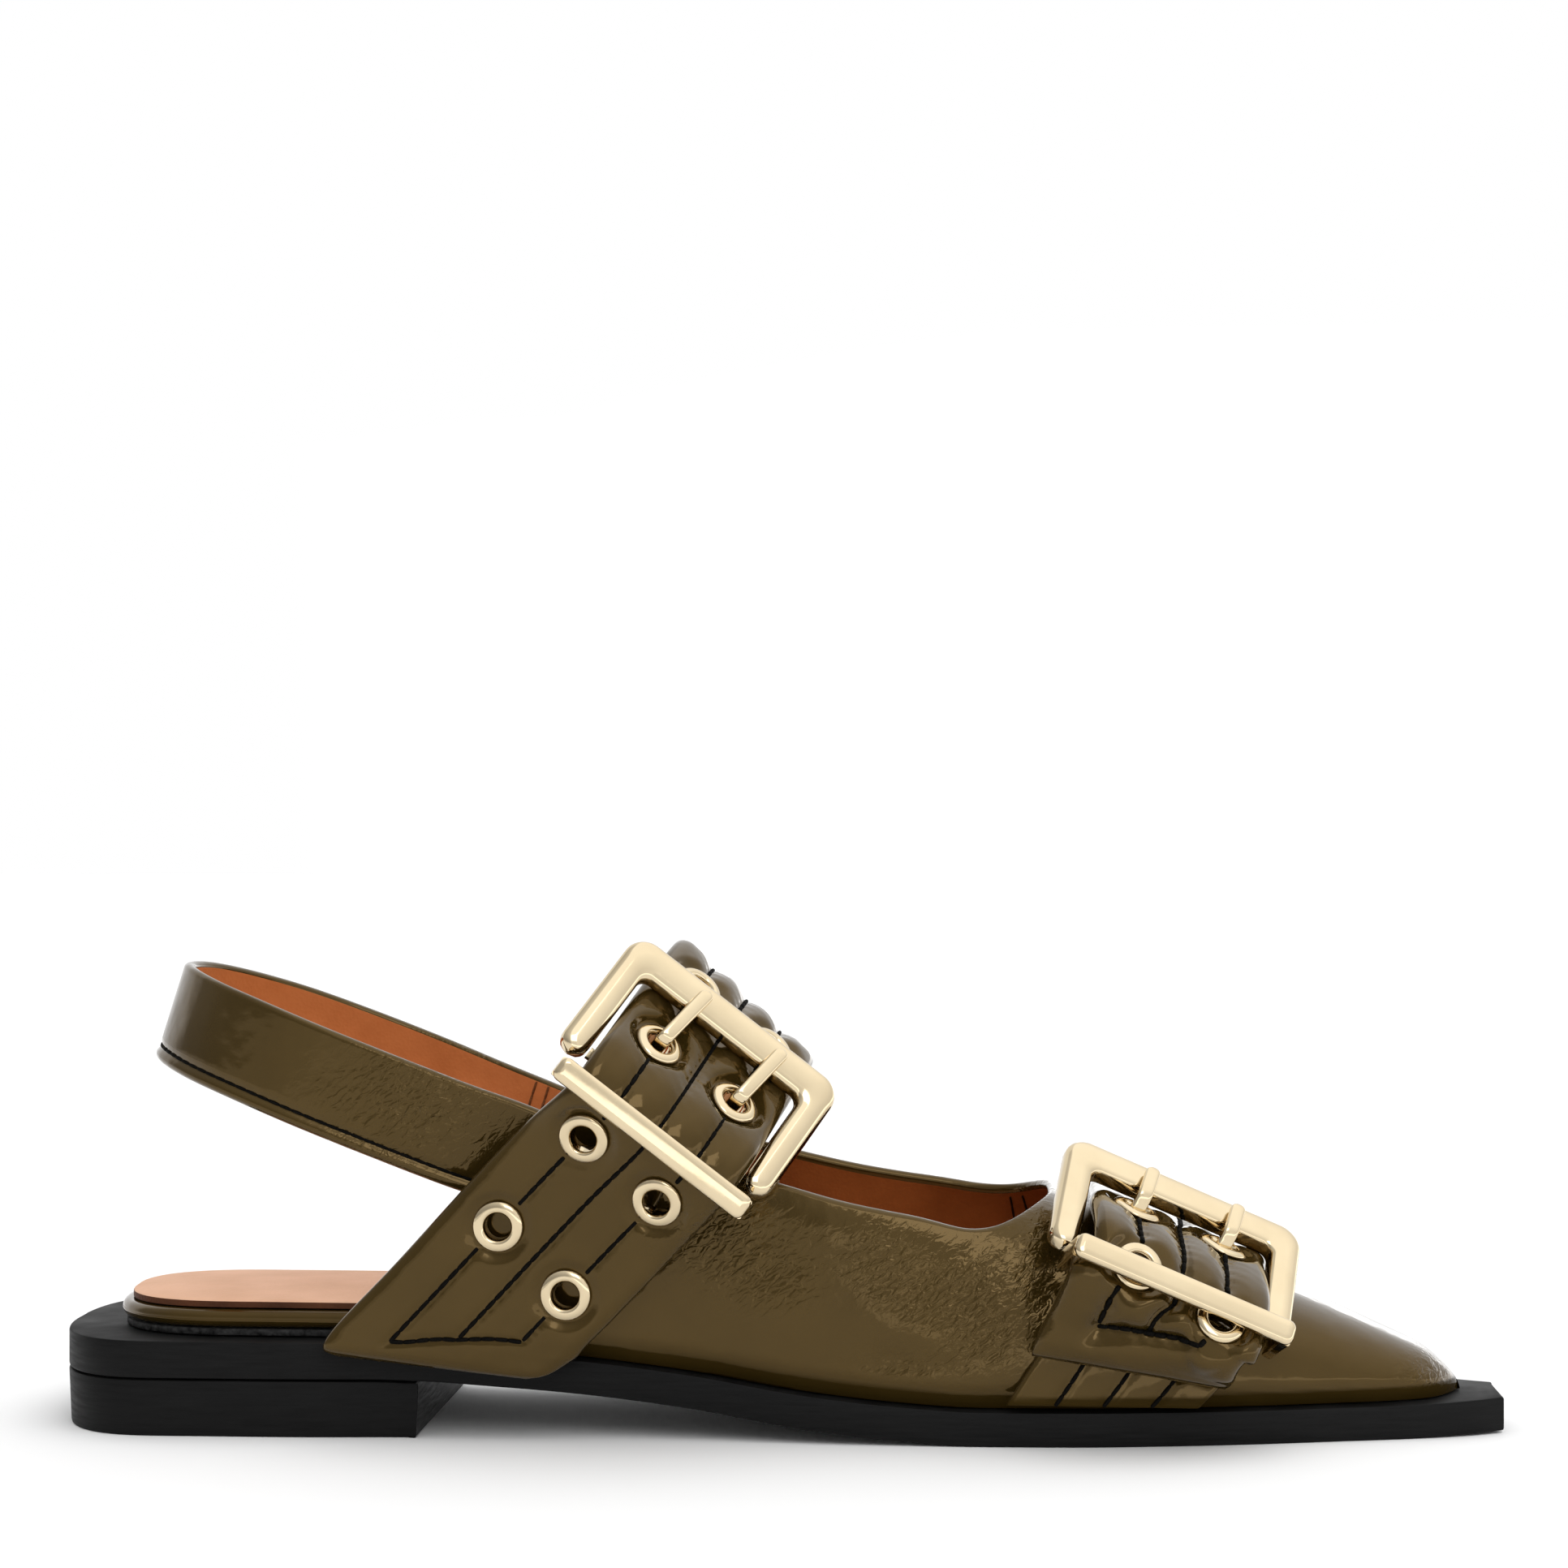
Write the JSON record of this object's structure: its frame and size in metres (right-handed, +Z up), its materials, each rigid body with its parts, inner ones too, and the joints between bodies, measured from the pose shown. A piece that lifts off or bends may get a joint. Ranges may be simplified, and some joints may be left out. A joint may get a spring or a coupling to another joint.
{
  "type": "buckle ballet flat",
  "caption": "Pointed slingback ballet flat, a right shoe, with a padded instep strap and a padded toe strap, each closed by a pronged buckle, on a low heel and an extended flat sole.",
  "frame": {"origin": "middle of the bounding box at the floor, under the shoe", "axes": "+X toward the toe, +Y toward the medial (inner) side, so the buckles are on -Y, +Z up"},
  "size_m": [0.269, 0.0883, 0.0906],
  "materials": {
    "sole": "matte black, fine horizontal grain at the edge",
    "midsole": "black board, gritty edge",
    "patent": "olive crinkled patent leather, glossy; tan lining inside",
    "insole": "smooth tan leather, dark cut edge",
    "metal": "polished pale gold"
  },
  "bodies": {
    "root": {"outsole": "sole", "heel_block": "sole", "midsole": "midsole", "footbed": "patent", "insole": "insole", "upper": "patent", "instep_strap": "patent", "toe_strap": "patent", "instep_strap_base": "patent", "toe_strap_base": "patent", "slingback_strap": "patent", "instep_buckle_frame": "metal", "instep_keeper": "metal", "instep_pin": "metal", "instep_prong_rear": "metal", "instep_prong_front": "metal", "toe_buckle_frame": "metal", "toe_keeper": "metal", "toe_pin": "metal", "toe_prong_rear": "metal", "toe_prong_front": "metal", "instep_strap_eyelet_1_rear": "metal", "instep_strap_eyelet_1_front": "metal", "instep_strap_eyelet_2_rear": "metal", "instep_strap_eyelet_2_front": "metal", "instep_strap_eyelet_3_rear": "metal", "instep_strap_eyelet_3_front": "metal", "instep_strap_eyelet_4_rear": "metal", "instep_strap_eyelet_4_front": "metal", "toe_strap_eyelet_1_rear": "metal", "toe_strap_eyelet_1_front": "metal", "toe_strap_eyelet_2_rear": "metal", "toe_strap_eyelet_2_front": "metal"}
  },
  "joints": []
}
